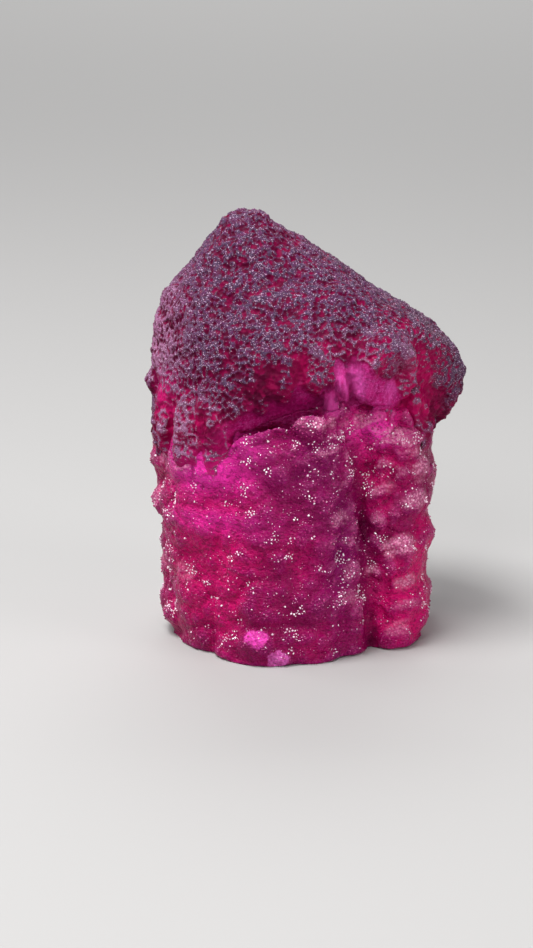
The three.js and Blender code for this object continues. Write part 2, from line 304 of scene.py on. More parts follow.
def zoneOf(p, outward):
    # how fresh the surface is, and how many millimetres the cap's coat reaches over the stem's
    wobble = 0.25 * wander(p, 1.8, 9) + 0.1 * wander(p, 0.6, 9)
    streak = fingers(p)
    overSlit = p[:, 2] - np.interp(p[:, 0], *wall["slit"])
    hollowed = within(p, wall) * smoothStep(*wall["facing"], outward[:, 2])
    inWall = hollowed * (1 - smoothStep(*wall["tall"], overSlit + 5 * wobble + 0.9 * streak))
    inLobe = within(p, lobe)
    planes = [np.array(n) / np.linalg.norm(n) for n in lobe["inward"]]
    depth = np.min([(p - np.array(lobe["ridge"])) @ n for n in planes], axis=0)
    crusted = np.interp(p[:, 0], *lobe["crusted"])
    onBreak = inLobe * (1 - smoothStep(*lobe["skin"], np.abs(depth)))
    onBreak *= smoothStep(*lobe["fade"], p[:, 2] - crusted + 2 * wobble + 0.5 * streak)
    onSliver, onStub, inNook = within(p, sliver), within(p, stub), within(p, nook)
    inner = np.max([hollowed, inLobe, onSliver, onStub, inNook], axis=0)
    reach = np.maximum(aboveHem(p), cap["end"] + cap["overInner"] * inner)
    onLip = smoothStep(*lip["under"], overSlit) * smoothStep(*lip["left"], p[:, 0])
    onLip = onLip * smoothStep(*lip["right"], p[:, 0]) * smoothStep(*lip["front"], p[:, 1])
    reach = reach * (1 - onLip) - lip["end"] * onLip
    return np.max([inWall, onBreak, onSliver, onStub, inNook], axis=0), reach


# the stone's own surface, in two coats: the stem, and the cap's crust with the fresh breaks in it

sculpted = [
    # place, half sizes, shift: where the form is drawn in or out
    ((4.0, -12.6, 34.2), (1.6, 1.5, 1.2), (0.0, 0.5, 0.0)),
    ((7.5, -9.5, 28.0), (3.5, 3.0, 2.5), (0.0, -1.0, 0.3)),
    ((1.6, -13.6, 29.2), (2.0, 2.0, 1.2), (0.0, 0.0, -0.6)),
    # along the lip
    ((-7.1, -13.9, 26.0), (1.1, 2.0, 1.1), (0.0, 0.0, 0.4)),
    ((-5.0, -14.0, 27.2), (1.1, 2.0, 1.1), (0.0, 0.0, 0.35)),
    ((-2.4, -13.9, 28.0), (1.1, 2.0, 1.1), (0.0, 0.0, -0.45)),
    ((-0.8, -13.8, 28.6), (1.2, 2.0, 1.1), (0.0, 0.0, 0.45)),
]
softened = [
    # where edges are rounded off further
    {"at": (-4.6, -13.57, 32.0), "half": (7.5, 2.5, 1.8), "turn": (0, -27, 0), "edge": (0.6, 1.1)},
    {"at": (6.0, -10.5, 21.5), "half": (2.4, 3.0, 5.5), "edge": (0.6, 1.1)},
]
leastIsland = 1000  # points: smaller islands of a mesh are scraps
sculptFall, spotFall = 1.5, 1.2  # how fast a soft place falls off around its middle
stone = {
    "voxel": 0.225 * mm,
    "roundOff": 10,  # smoothing steps, which take the facets away
    "soften": 120,
    "swell": (3.4, 1.15),  # size and height
    "bead": (2.0, 0.3, 0.75),  # and how much more where it is strongly beaded
    "grit": (0.62, 0.10, 0.28),
    "stretch": (0.8, 0.8, 1.15),
    "rowStretch": (0.7, 0.7, 1.3),  # of the rows of painted glints and of finer painted glints
    "climb": 4.0,  # how far the pattern climbs round the stem
    "flatFoot": (0.0, 0.4),  # millimetres over the floor in which the relief grows to its full height
    "covered": (-0.3, 0.5),  # reach of the crust under which the relief fades
    "sink": (0.2, 1.5),  # and under which it sinks
    "under": 0.5,  # by this
    "kept": 2.0,  # its mesh ends where the crust reaches over it by this
    "crownReach": 80,  # smoothing steps of the form that crowns stand out from
    "crown": (-0.06, 0.28),  # millimetres
    "proud": (0.0, 0.2),  # and those of where the painted sheen lies
    "bossEdge": (0.6, 1.15),
    "backFrostAndSheen": 0.9,
    "beadFrostAndSheen": 0.7,
    "footEdge": (0.6, 1.2),  # nothing grows under this height
    "litUp": (0.1, 0.3),
    "clusters": (2.2, 0.16, 0.24),  # a pattern is its size, and where it starts and where it is whole
    "drift": (3.2, -0.12, 0.1),  # of the clusters
    "rows": (1.1, 0.05, 0.2),
    "rowCrown": (0.0, 0.3),
    "rowShare": 0.16,  # how many painted glints stand in rows outside the clusters
    "dust": (0.8, -0.1, 0.3),
    "paintedFineGlintShare": 0.6,
    "roughCrown": (0.35, 0.8),
    "roughBead": 0.8,
}
crustCoat = {
    "voxel": 0.15 * mm,
    "roundOff": 21,
    "soften": 260,
    "below": 3,  # millimetres of the solid kept under the lowest hem
    "lump": (2.8, 0.75),  # size and height
    "pit": (0.64, 0.44),
    "grain": (0.36, 0.22),
    "fine": (0.22, 0.06),
    "bend": (1.1, 0.25),  # size and strength of what pulls the pits out of round
    "floor": -0.2,  # the deepest a crease goes
    "broken": 0.2,  # how high the grains stand on fresh breaks
    "calm": 0.92,  # and how much flatter the rest is there
    "finger": 0.75,
    "nearHem": (8, 1),  # millimetres above the hem where fingers start and where they are whole
    "rim": 0.5,
    "reached": (0.0, 1.2),  # reach over which the relief grows
    "tuck": 0.45,  # how far its hem dives under the stem's surface
    "tip": (-0.28, 0.24),  # heights of bare red and of full frost
    "tipOf": {"lump": 0.13, "blush": 0.04, "coated": 0.1, "wander": 0.06, "rim": 0.2},
    "hemBare": (0.42, 1.6),  # how bare it is near the hem, and how much less on a finger
    "bareShare": 0.65,
    "grownTip": (0.34, 0.62),  # where crystals grow
    "grownUp": (0.05, 0.4),
    "grownReach": (0.3, 1.2),
    "grownFresh": (0.2, 0.6),
    "seam": 1.0 * mm,  # the plane between its front and back
}


def meshFrom(thing, name):
    # the thing's mesh with its modifiers applied
    graph = bpy.context.evaluated_depsgraph_get()
    mesh = bpy.data.meshes.new_from_object(thing.evaluated_get(graph))
    mesh.name = name
    return mesh


def linked(name, mesh):
    thing = bpy.data.objects.new(name, mesh)
    scene.collection.objects.link(thing)
    return thing


def points(mesh, what="co"):
    values = np.zeros(len(mesh.vertices) * 3, np.float32)
    mesh.vertices.foreach_get(what, values)
    return values.reshape(-1, 3).astype(float)


def setPoints(mesh, p):
    mesh.vertices.foreach_set("co", p.astype(np.float32).ravel())
    mesh.update()


def store(mesh, name, values):
    attribute = mesh.attributes.get(name) or mesh.attributes.new(name, "FLOAT", "POINT")
    attribute.data.foreach_set("value", values.astype(np.float32))


def read(mesh, name):
    values = np.zeros(len(mesh.vertices), np.float32)
    mesh.attributes[name].data.foreach_get("value", values)
    return values.astype(float)


def smoothed(thing, steps):
    smooth = thing.modifiers.new("smooth", "SMOOTH")
    smooth.factor = 0.5
    smooth.iterations = steps
    mesh = meshFrom(thing, thing.name)
    thing.modifiers.remove(smooth)
    return mesh


def roundedForm(name, voxel, steps, soften):
    # the solid as one fine even mesh with its facets rounded off
    solid = bmesh.new()
    solid.from_mesh(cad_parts["rubellite"].data)
    bmesh.ops.remove_doubles(solid, verts=solid.verts, dist=0.001 * mm)
    mesh = bpy.data.meshes.new(name)
    solid.to_mesh(mesh)
    solid.free()
    thing = linked(name, mesh)
    remesh = thing.modifiers.new("remesh", "REMESH")
    remesh.mode = "VOXEL"
    remesh.voxel_size = voxel
    thing.data = meshFrom(thing, name)
    thing.modifiers.clear()
    thing.data = smoothed(thing, steps)
    mesh = thing.data
    p = points(mesh) / mm
    moved = p.copy()
    for at, half, shift in sculpted:
        near = np.exp(-sculptFall * np.sum(((p - np.array(at)) / np.array(half)) ** 2, axis=1))
        moved += near[:, None] * np.array(shift)
    setPoints(mesh, moved * mm)
    near = np.max([within(p, place) for place in softened], axis=0)
    sharp = points(mesh)
    soft = smoothed(thing, soften)
    setPoints(mesh, sharp + (points(soft) - sharp) * near[:, None])
    bpy.data.meshes.remove(soft)
    return thing


def standsOut(thing, steps):
    # millimetres that each point stands out from the form smoothed around it
    form = smoothed(thing, steps)
    out = np.sum((points(thing.data) - points(form)) * points(thing.data, "normal"), axis=1) / mm
    bpy.data.meshes.remove(form)
    return out


def dropScraps(solid, least):
    # deletes the islands with fewer points than the least
    left, scraps = set(solid.verts), []
    while left:
        island, edge = [], [left.pop()]
        while edge:
            vert = edge.pop()
            island.append(vert)
            for link in vert.link_edges:
                other = link.other_vert(vert)
                if other in left:
                    left.remove(other)
                    edge.append(other)
        if len(island) < least:
            scraps += island
    bmesh.ops.delete(solid, geom=scraps, context="VERTS")


def keepWhere(mesh, keep):
    # only the faces whose corners are all kept, without scraps
    solid = bmesh.new()
    solid.from_mesh(mesh)
    solid.verts.ensure_lookup_table()
    gone = [solid.verts[i] for i in np.flatnonzero(~keep)]
    bmesh.ops.delete(solid, geom=gone, context="VERTS")
    dropScraps(solid, leastIsland)
    kept = bpy.data.meshes.new(mesh.name)
    solid.to_mesh(kept)
    solid.free()
    return kept


def triangles(mesh):
    return sum(len(face.vertices) - 2 for face in mesh.polygons)


def spotted(p, name):
    # how strongly each point lies in the spots of that name, with blurred and ragged edges
    blur = 1 + 0.35 * wander(p, 2.5, 8) + 0.2 * wander(p, 0.9, 8)
    near = []
    for at, half, strength in spots[name]:
        away = np.sum(((p - np.array(at)) / np.array(half)) ** 2, axis=1)
        near.append(strength * np.exp(-spotFall * blur * away))
    return np.max(near, axis=0)


def storeZones(mesh, fresh):
    p = points(mesh) / mm
    for name in spots:
        store(mesh, name, spotted(p, name))
    store(mesh, "fresh", fresh)
    store(mesh, "up", smoothStep(-0.5, 0.8, points(mesh, "normal")[:, 2]))


def climbing(p, stretch):
    # the points as a pattern sees them that climbs round the stem
    climbed = p * np.array(stretch)
    climbed[:, 2] -= stone["climb"] * np.sin(np.arctan2(p[:, 0], -p[:, 1]))
    return climbed


def storeGrowth(mesh, stone):
    # where the small crystals grow on the stem, and its two odd patches
    p = points(mesh) / mm
    ragged = 0.2 * wander(p, 0.8, 5)
    store(mesh, "chip", within(p, chip, ragged))
    store(mesh, "nodule", within(p, nodule, ragged))
    climbed = climbing(p, stone["rowStretch"])
    crown, beaded = read(mesh, "crown"), read(mesh, "beaded")
    own = read(mesh, "druse") * smoothStep(*stone["footEdge"], p[:, 2])
    lit = own * smoothStep(*stone["litUp"], read(mesh, "up"))
    size, low, high = stone["rows"]
    rows = smoothStep(low, high, wander(climbed, size, 12)) * smoothStep(*stone["rowCrown"], crown)
    size, low, high = stone["clusters"]
    clusters = smoothStep(low, high, knobs(p, size, 17) + 0.08 * beaded)
    size, low, high = stone["drift"]
    clusters = clusters * smoothStep(low, high, wander(p, size, 21) + 0.5 * beaded)
    # finer painted glints: tiny pale crystals along the rows
    size, low, high = stone["dust"]
    fineGlintMask = smoothStep(low, high, wander(climbed, size, 27) + 0.3 * crown)
    # painted glints: pale crystals in clusters and rows on lit crowns
    store(mesh, "sparkle", lit * np.maximum(clusters, stone["rowShare"] * rows))
    store(mesh, "dust", stone["paintedFineGlintShare"] * lit * fineGlintMask)
    rough = np.maximum(smoothStep(*stone["roughCrown"], crown), stone["roughBead"] * beaded)
    store(mesh, "rough", own * rough)


def makeStone(stone):
    thing = roundedForm("rubelliteStone", stone["voxel"], stone["roundOff"], stone["soften"])
    mesh = thing.data
    p, outward = points(mesh) / mm, points(mesh, "normal")
    fresh, reach = zoneOf(p, outward)
    covered = smoothStep(*stone["covered"], reach)
    druse = np.clip(1 - covered - fresh, 0, 1)
    above = smoothStep(*stone["flatFoot"], p[:, 2])
    relief = stone["swell"][1] * knobs(climbing(p, stone["stretch"]), stone["swell"][0], 1)
    beaded = spotted(p, "beaded")
    for name, salt in (("bead", 3), ("grit", 4)):
        size, height, more = stone[name]
        relief = relief + (height + more * beaded) * knobs(p, size, salt)
    frosted = np.zeros(len(p))
    wobble = 0.2 * wander(p, 1.1, 15) + 0.1 * wander(p, 0.5, 15)
    # each boss takes painted sheen on its crown
    for at, half, tilt, height, frostAndSheen in bosses:
        boss = {"at": at, "half": half, "turn": (0, -tilt, 0), "edge": stone["bossEdge"]}
        relief = relief + height * np.exp(-spotFall * insideOf(p, boss) ** 2)
        frosted = np.maximum(frosted, frostAndSheen * within(p, boss, wobble))
    grooved = inGroove(p) * druse
    relief = relief * (1 - groove["calm"] * grooved) - groove["deep"] * grooved
    rise = druse * relief - stone["under"] * smoothStep(*stone["sink"], reach)
    setPoints(mesh, (p + outward * (rise * above)[:, None]) * mm)
    store(mesh, "druse", druse)
    store(mesh, "grooved", grooved)
    out = standsOut(thing, stone["crownReach"])
    store(mesh, "crown", smoothStep(*stone["crown"], out))
    proud = smoothStep(*stone["proud"], out)
    # painted sheen also on proud crowns at the back and where it is strongly beaded
    behind = smoothStep(-6.0, 0.0, p[:, 1]) * smoothStep(-0.1, 0.3, wander(p, 4.0, 16))
    frosted = np.maximum(frosted, stone["backFrostAndSheen"] * behind * proud)
    store(mesh, "frosted", np.maximum(frosted, stone["beadFrostAndSheen"] * beaded * proud))
    storeZones(mesh, fresh)
    mesh = thing.data = keepWhere(mesh, reach < stone["kept"])
    storeGrowth(mesh, stone)
    mesh.shade_smooth()
    print("stone:", triangles(mesh), "triangles")
    return thing


def nearRim(p):
    # 1 along the lobe's right-hand rim, falling to 0 about a millimetre away
    ends = [np.array(at) for at in lobe["rim"]]
    away = []
    for a, b in zip(ends, ends[1:]):
        along = np.clip((p - a) @ (b - a) / np.dot(b - a, b - a), 0, 1)
        away.append(np.linalg.norm(p - a - along[:, None] * (b - a), axis=1))
    return smoothStep(*lobe["rimWidth"], np.min(away, axis=0) + 0.3 * wander(p, 0.9, 37))


def makeCrust(coat):
    thing = roundedForm("rubelliteCrust", coat["voxel"], coat["roundOff"], coat["soften"])
    p = points(thing.data) / mm
    thing.data = keepWhere(thing.data, p[:, 2] > min(cap["hem"]) - coat["below"])
    mesh = thing.data
    p, outward = points(mesh) / mm, points(mesh, "normal")
    fresh, reach = zoneOf(p, outward)
    bend, strength = coat["bend"]
    bent = p + strength * np.stack([wander(p, bend, salt) for salt in (31, 33, 35)], axis=1)
    lump, grains = knobs(p, coat["lump"][0], 1), knobs(p, coat["grain"][0], 5)
    pit = np.maximum(knobs(bent, coat["pit"][0], 2), coat["floor"])
    small = coat["fine"][1] * wander(p, coat["fine"][0], 6) - coat["pit"][1] * pit
    small -= coat["grain"][1] * np.maximum(grains, coat["floor"])
    nearHem = smoothStep(*coat["nearHem"], p[:, 2] - hemHeight(p)) * (1 - fresh)
    streak = fingers(p)
    on = smoothStep(*coat["reached"], reach)
    rim = nearRim(p) * (1 - fresh)
    rise = on * (1 - coat["calm"] * fresh) * (coat["lump"][1] * lump + small) - (1 - on) * coat["tuck"]
    rise += on * fresh * coat["broken"] * grains
    rise += coat["finger"] * nearHem * streak + coat["rim"] * rim
    setPoints(mesh, (p + outward * rise[:, None]) * mm)
    storeZones(mesh, fresh)
    tipOf = coat["tipOf"]
    high = small + tipOf["lump"] * coat["lump"][1] * lump
    for name in ("blush", "coated"):
        high += tipOf[name] * read(mesh, name)
    high += tipOf["wander"] * wander(p, 4.5, 29)
    high += tipOf["rim"] * rim
    store(mesh, "tip", smoothStep(*coat["tip"], high))
    atHem, onFinger = coat["hemBare"]
    bare = np.clip(read(mesh, "bare") + nearHem * (atHem - onFinger * streak) - rim, 0, 1)
    store(mesh, "bare", bare)
    store(mesh, "up", np.maximum(read(mesh, "up"), spotted(p, "coated")))
    frosty = smoothStep(*coat["grownTip"], read(mesh, "tip") - coat["bareShare"] * bare)
    frosty = frosty * smoothStep(*coat["grownUp"], read(mesh, "up"))
    whole = smoothStep(*coat["grownReach"], reach) * (1 - smoothStep(*coat["grownFresh"], fresh))
    store(mesh, "crust", whole * frosty)
    mesh = thing.data = keepWhere(mesh, reach > cap["end"])
    halves = []
    for name, side in (("crustFront", 1), ("crustBack", -1)):
        cut = bmesh.new()
        cut.from_mesh(mesh)
        everything = cut.verts[:] + cut.edges[:] + cut.faces[:]
        bmesh.ops.bisect_plane(
            cut, geom=everything, plane_co=(0, coat["seam"], 0), plane_no=(0, side, 0), clear_outer=True
        )
        half = bpy.data.meshes.new(name)
        cut.to_mesh(half)
        cut.free()
        half.shade_smooth()
        halves.append(linked(name, half))
        print(name + ":", triangles(half), "triangles")
    return thing, halves


# small crystals that grow on it

prisms = {
    # sides, height and half width
    "kinds": [(5, 0.8, 0.45), (6, 1.0, 0.38), (4, 0.7, 0.5), (6, 0.6, 0.5), (5, 1.1, 0.34)],
    "blunt": 0.7,  # width of the top against the bottom's
    "point": 0.2,  # how high the low point on it is
    "raised": 0.05,
    "jitter": 0.22,
    "seed": 7,
}
blades = {
    "kinds": [(4, 0.9, 0.34), (4, 0.7, 0.4), (5, 0.6, 0.42), (3, 1.1, 0.36), (4, 0.5, 0.5)],
    "blunt": 0.0,
    "raised": 0.05,
    "jitter": 0.12,
    "seed": 31,
}
crowding = 1.6  # how many grains are tried for each place that has room for one
crustGrowth = {
    "name": "crustCrystals",
    "mask": "crust",
    "apart": 0.19 * mm,
    "size": (0.08 * mm, 0.26 * mm),
    "lean": 1.0,
    "seed": 3,
}
druseGrowth = {
    "name": "druseCrystals",
    "mask": "rough",
    "apart": 0.4 * mm,
    "size": (0.14 * mm, 0.3 * mm),
    "lean": 0.8,
    "seed": 11,
}
# pale crystals whose colour is painted glints
paintedGlintGrowth = {
    "name": "sparkleCrystals",
    "mask": "sparkle",
    "apart": 0.26 * mm,
    "size": (0.10 * mm, 0.28 * mm),
    "lean": 0.8,
    "seed": 23,
}
# tiny pale crystals whose colour is painted glints
paintedFineGlintGrowth = {
    "name": "dustCrystals",
    "mask": "dust",
    "apart": 0.26 * mm,
    "size": (0.07 * mm, 0.15 * mm),
    "lean": 0.9,
    "seed": 41,
}


def fill(node, values):
    # sets the node's inputs of those names
    for name, value in values.items():
        node.inputs[name].default_value = value


def makeGrains(name, grain):
    # short crystals with blunt or sharp points, about 1 across, in a collection of their own
    group = bpy.data.collections.new(name)
    for kind, (sides, height, width) in enumerate(grain["kinds"]):
        shape = bmesh.new()
        narrow = width * grain["blunt"]
        size = {"segments": sides, "radius1": width, "radius2": narrow, "depth": height}
        bmesh.ops.create_cone(shape, cap_ends=True, cap_tris=False, **size)
        if grain["blunt"]:
            top = max(shape.faces, key=lambda face: face.calc_center_median().z)
            tip = bmesh.ops.poke(shape, faces=[top])["verts"][0]
            tip.co.z += grain["point"]
        bottom = min(shape.faces, key=lambda face: face.calc_center_median().z)
        bmesh.ops.delete(shape, geom=[bottom], context="FACES_ONLY")
        bmesh.ops.remove_doubles(shape, verts=shape.verts, dist=0.001)
        for vert in shape.verts:
            salt = Vector((kind, grain["seed"], 0))
            vert.co += grain["jitter"] * noise.noise_vector(vert.co * 3 + salt)
            vert.co.z += grain["raised"]
        mesh = bpy.data.meshes.new(f"{name}{kind}")
        shape.to_mesh(mesh)
        shape.free()
        store(mesh, "tip", np.clip(points(mesh)[:, 2] * 1.1 + 0.2, 0, 1))
        group.objects.link(bpy.data.objects.new(f"{name}{kind}", mesh))
    return group


def growth(grown, grains, material):
    # a node tree that plants grains over a surface and makes them real
    tree = bpy.data.node_groups.new(grown["name"], "GeometryNodeTree")
    tree.interface.new_socket("Geometry", in_out="INPUT", socket_type="NodeSocketGeometry")
    tree.interface.new_socket("Geometry", in_out="OUTPUT", socket_type="NodeSocketGeometry")
    add, join = tree.nodes.new, tree.links.new
    start, end = add("NodeGroupInput"), add("NodeGroupOutput")

    mask = add("GeometryNodeInputNamedAttribute")
    mask.data_type = "FLOAT"
    fill(mask, {"Name": grown["mask"]})

    scatter = add("GeometryNodeDistributePointsOnFaces")
    scatter.distribute_method = "POISSON"
    density = crowding / grown["apart"] ** 2
    fill(scatter, {"Distance Min": grown["apart"], "Density Max": density, "Seed": grown["seed"]})
    join(start.outputs[0], scatter.inputs["Mesh"])
    join(mask.outputs["Attribute"], scatter.inputs["Density Factor"])

    lean = add("FunctionNodeRandomValue")
    lean.data_type = "FLOAT_VECTOR"
    most = Vector((grown["lean"], grown["lean"], math.pi))
    fill(lean, {"Min": -most, "Max": most, "Seed": grown["seed"] + 1})
    turn = add("FunctionNodeRotateRotation")
    turn.rotation_space = "LOCAL"
    join(scatter.outputs["Rotation"], turn.inputs["Rotation"])
    join(lean.outputs["Value"], turn.inputs["Rotate By"])

    size = add("FunctionNodeRandomValue")
    size.data_type = "FLOAT"
    smallest, largest = grown["size"]
    fill(size, {"Min": smallest, "Max": largest, "Seed": grown["seed"] + 2})

    kinds = add("GeometryNodeCollectionInfo")
    fill(kinds, {"Collection": grains, "Separate Children": True, "Reset Children": True})
    plant = add("GeometryNodeInstanceOnPoints")
    fill(plant, {"Pick Instance": True})
    join(scatter.outputs["Points"], plant.inputs["Points"])
    join(kinds.outputs[0], plant.inputs["Instance"])
    join(turn.outputs["Rotation"], plant.inputs["Rotation"])
    join(size.outputs["Value"], plant.inputs["Scale"])

    tone = add("FunctionNodeRandomValue")
    tone.data_type = "FLOAT"
    fill(tone, {"Seed": grown["seed"] + 5})
    keep = add("GeometryNodeStoreNamedAttribute")
    keep.data_type = "FLOAT"
    keep.domain = "INSTANCE"
    fill(keep, {"Name": "tone"})
    join(plant.outputs["Instances"], keep.inputs["Geometry"])
    join(tone.outputs[1], keep.inputs["Value"])

    real = add("GeometryNodeRealizeInstances")
    join(keep.outputs["Geometry"], real.inputs["Geometry"])
    paint = add("GeometryNodeSetMaterial")
    fill(paint, {"Material": material})
    join(real.outputs["Geometry"], paint.inputs["Geometry"])
    join(paint.outputs["Geometry"], end.inputs[0])
    return tree


def grow(grown, ground, grains, material):
    bed = linked(grown["name"], ground)
    nodes = bed.modifiers.new("grow", "NODES")
    nodes.node_group = growth(grown, grains, material)
    bed.data = meshFrom(bed, grown["name"])
    bed.modifiers.clear()
    print(grown["name"] + ":", triangles(bed.data), "triangles")
    return bed


# materials

finish = {
    # a pattern is its size, and the noise where it starts and where it is whole
    "druse": {
        "deep": (0.175, 0.001, 0.055),
        "bright": (0.50, 0.001, 0.11),
        "violet": (0.19, 0.001, 0.088),
        # glow is painted light, a glow where light comes through from behind
        "glow": (0.90, 0.032, 0.43),
        # painted sheen, the reflection of the light on the crowns
        "frostAndSheen": (0.70, 0.26, 0.42),
        "fresh": (0.38, 0.003, 0.12),
        # painted shade of the hollow, also the dark tone of the breaks' mottle
        "walled": (0.20, 0.001, 0.062),
        # painted lilac sheen on the breaks, also the colour of their streaks and specks
        "lilac": (0.64, 0.08, 0.38),
        "chip": (0.80, 0.06, 0.45),
        "nodule": (0.62, 0.10, 0.40),
        "crease": (0.13, 0.0005, 0.04),
        # painted sheen of the fine scales
        "sheenFleck": (0.62, 0.05, 0.27),
        "crest": (0.19, 0.003, 0.095),
        "patches": (8 * mm, 0.40, 0.66),
        "leather": (0.42 * mm, 0.52, 0.38),
        "scales": (0.24 * mm, 0.52, 0.66),
        "cells": (0.29 * mm, 0.62, 0.3),
        "sugar": (0.4 * mm, 0.56, 0.44),
        "beads": (0.36 * mm, 0.14 * mm, 0.7),  # size, height and strength of the bump
        "wrinkles": (0.26 * mm, 0.2 * mm, 0.9),
        "crestAt": (0.1, 0.7),  # crown where the crest's colour starts and where it is whole
        "frostedAndSheenedUp": (0.0, 0.42),  # how far up a face looks where it takes the painted sheen of the light from above
        "creased": (0.6, 0.4),  # how dark creases are, and how much less on a crown
        "sheenFlecked": (0.08, 0.4),  # how bright the flecks of painted sheen are, and how much more on a crown
        "celled": (0.3, 0.7),  # how much painted sheen there is between cells, and how much more on them
        "shares": {"patches": 0.5, "crest": 0.45, "groove": 0.6, "frostAndSheen": 0.85, "sugar": 0.45},
        "spread": {  # light spreads a little way inside the stone
            "Subsurface Weight": 0.15,
            "Subsurface Radius": (1.0, 0.12, 0.42),
            "Subsurface Scale": 0.6 * mm,
        },
        "rough": 0.28,
        "shine": 0.07,
    },
    "crust": {
        "low": (0.075, 0.0004, 0.020),
        "clear": (0.36, 0.0008, 0.072),
        # glow is painted light, a glow where light comes through from behind
        "glow": (0.62, 0.008, 0.19),
        "fresh": (0.38, 0.003, 0.12),
        # painted shade of the hollow, also the dark tone of the breaks' mottle
        "walled": (0.20, 0.001, 0.062),
        # painted lilac sheen on the breaks, also the colour of their streaks and specks
        "lilac": (0.64, 0.08, 0.38),
        "pale": (0.098, 0.021, 0.080),
        # painted shade on the frost of the flanks turned from the light
        "dull": (0.070, 0.038, 0.067),
        "cold": (0.070, 0.037, 0.084),
        # painted light on the frost where the crust faces the lamps
        "blush": (0.33, 0.13, 0.25),
        # painted highlights: the bright points of the frost and the brightest grains
        "bright": (0.72, 0.52, 0.70),
        "creases": (0.33 * mm, 0.52, 0.22),
        "points": (0.16 * mm, 0.58, 0.70),
        "redder": (1.2 * mm, 0.46, 0.62),
        "grit": (0.18 * mm, 0.1 * mm, 0.6),
        "frostedTip": (0.28, 0.62),
        "frostedAndSheenedUp": (0.0, 0.45),
        "shares": {"creases": 0.72, "points": 0.6, "redder": 0.32, "bare": 0.65, "grainFoot": 0.65},
        "spread": {
            "Subsurface Weight": 0.15,
            "Subsurface Radius": (1.0, 0.3, 0.6),
            "Subsurface Scale": 0.4 * mm,
        },
        "rough": 0.5,
        "shine": 0.04,
        "grainRough": 0.3,
        "grainShine": 0.3,
        "grainTones": ((0.05, 0.6), (0.66, 1.0)),  # from dark to frost, and from frost to the bright colour of painted glints
        "grainTip": (0.6, 0.2),
    },
    "crystal": {"dark": (0.26, 0.002, 0.085), "light": (0.50, 0.06, 0.22), "rough": 0.2, "shine": 0.4},
    # pale colours painted as fine glints
    "dust": {"dark": (0.45, 0.02, 0.20), "light": (0.85, 0.50, 0.70), "rough": 0.15, "shine": 0.6},
    # pale colours painted as glints
    "sparkle": {"dark": (0.80, 0.55, 0.70), "light": (0.97, 0.88, 0.94), "rough": 0.15, "shine": 0.6},
}
brokenFace = {
    "streaks": (0.4 * mm, 0.45, 0.7),
    "streakStretch": (1.2, 1.2, 0.2),
    "mottle": (1.1 * mm, 0.46, 0.62),
    "specks": (0.2 * mm, 0.52, 0.66),
    "shares": (0.4, 0.6, 0.5),  # of the three
}
capFrost = {"cold": (0.7 * mm, 0.38, 0.56)}
girth = (0.7, 0.7, 1.2)  # stretches a pattern along the stem's girth
crystalIor = 1.62


def newMaterial(name, rough, shine, ior=crystalIor):
    material = bpy.data.materials.new(name)
    material.use_nodes = True
    shader = material.node_tree.nodes["Principled BSDF"]
    fill(shader, {"Roughness": rough, "IOR": ior, "Specular IOR Level": shine})
    return material, material.node_tree, shader


def stored(tree, name):
    # a value of the mesh, as a material reads it
    node = tree.nodes.new("ShaderNodeAttribute")
    node.attribute_name = name
    return node.outputs["Fac"]


def mixColor(tree, factor, a, b):
    mix = tree.nodes.new("ShaderNodeMix")
    mix.data_type = "RGBA"
    for socket, value in zip((mix.inputs[0], mix.inputs[6], mix.inputs[7]), (factor, a, b)):
        if isinstance(value, bpy.types.NodeSocket):
            tree.links.new(value, socket)
        else:
            socket.default_value = value if isinstance(value, (int, float)) else (*value, 1)
    return mix.outputs[2]


def ramp(tree, value, low, high):
    node = tree.nodes.new("ShaderNodeMapRange")
    node.interpolation_type = "SMOOTHSTEP"
    tree.links.new(value, node.inputs["Value"])
    fill(node, {"From Min": low, "From Max": high})
    return node.outputs["Result"]


def math2(tree, kind, a, b):
    node = tree.nodes.new("ShaderNodeMath")
    node.operation = kind
    node.use_clamp = True
    for socket, value in zip(node.inputs, (a, b)):
        if isinstance(value, bpy.types.NodeSocket):
            tree.links.new(value, socket)
        else:
            socket.default_value = value
    return node.outputs[0]


def times(tree, a, b):
    return math2(tree, "MULTIPLY", a, b)


def objectPoint(tree, stretch=None):
    point = tree.nodes.new("ShaderNodeTexCoord").outputs["Object"]
    if not stretch:
        return point
    mapping = tree.nodes.new("ShaderNodeMapping")
    fill(mapping, {"Scale": stretch})
    tree.links.new(point, mapping.inputs["Vector"])
    return mapping.outputs["Vector"]


def noiseAt(tree, size, detail=2, distortion=0.0, stretch=None):
    node = tree.nodes.new("ShaderNodeTexNoise")
    fill(node, {"Scale": 1 / size, "Detail": detail, "Distortion": distortion})
    tree.links.new(objectPoint(tree, stretch), node.inputs["Vector"])
    return node.outputs["Fac"]


def leatherAt(tree, size):
    # longer along the stem's girth than up it
    return noiseAt(tree, size, distortion=0.8, stretch=girth)


def cellsAt(tree, size):
    node = tree.nodes.new("ShaderNodeTexVoronoi")
    fill(node, {"Scale": 1 / size})
    tree.links.new(objectPoint(tree), node.inputs["Vector"])
    return node.outputs["Distance"]


def pattern(tree, kind, values, **more):
    # one of the three above as a mask, from its size and where it starts and is whole
    size, low, high = values
    return ramp(tree, kind(tree, size, **more), low, high)


def bump(tree, height, distance, strength, normal=None):
    node = tree.nodes.new("ShaderNodeBump")
    fill(node, {"Distance": distance, "Strength": strength})
    tree.links.new(height, node.inputs["Height"])
    if normal:
        tree.links.new(normal, node.inputs["Normal"])
    return node.outputs["Normal"]


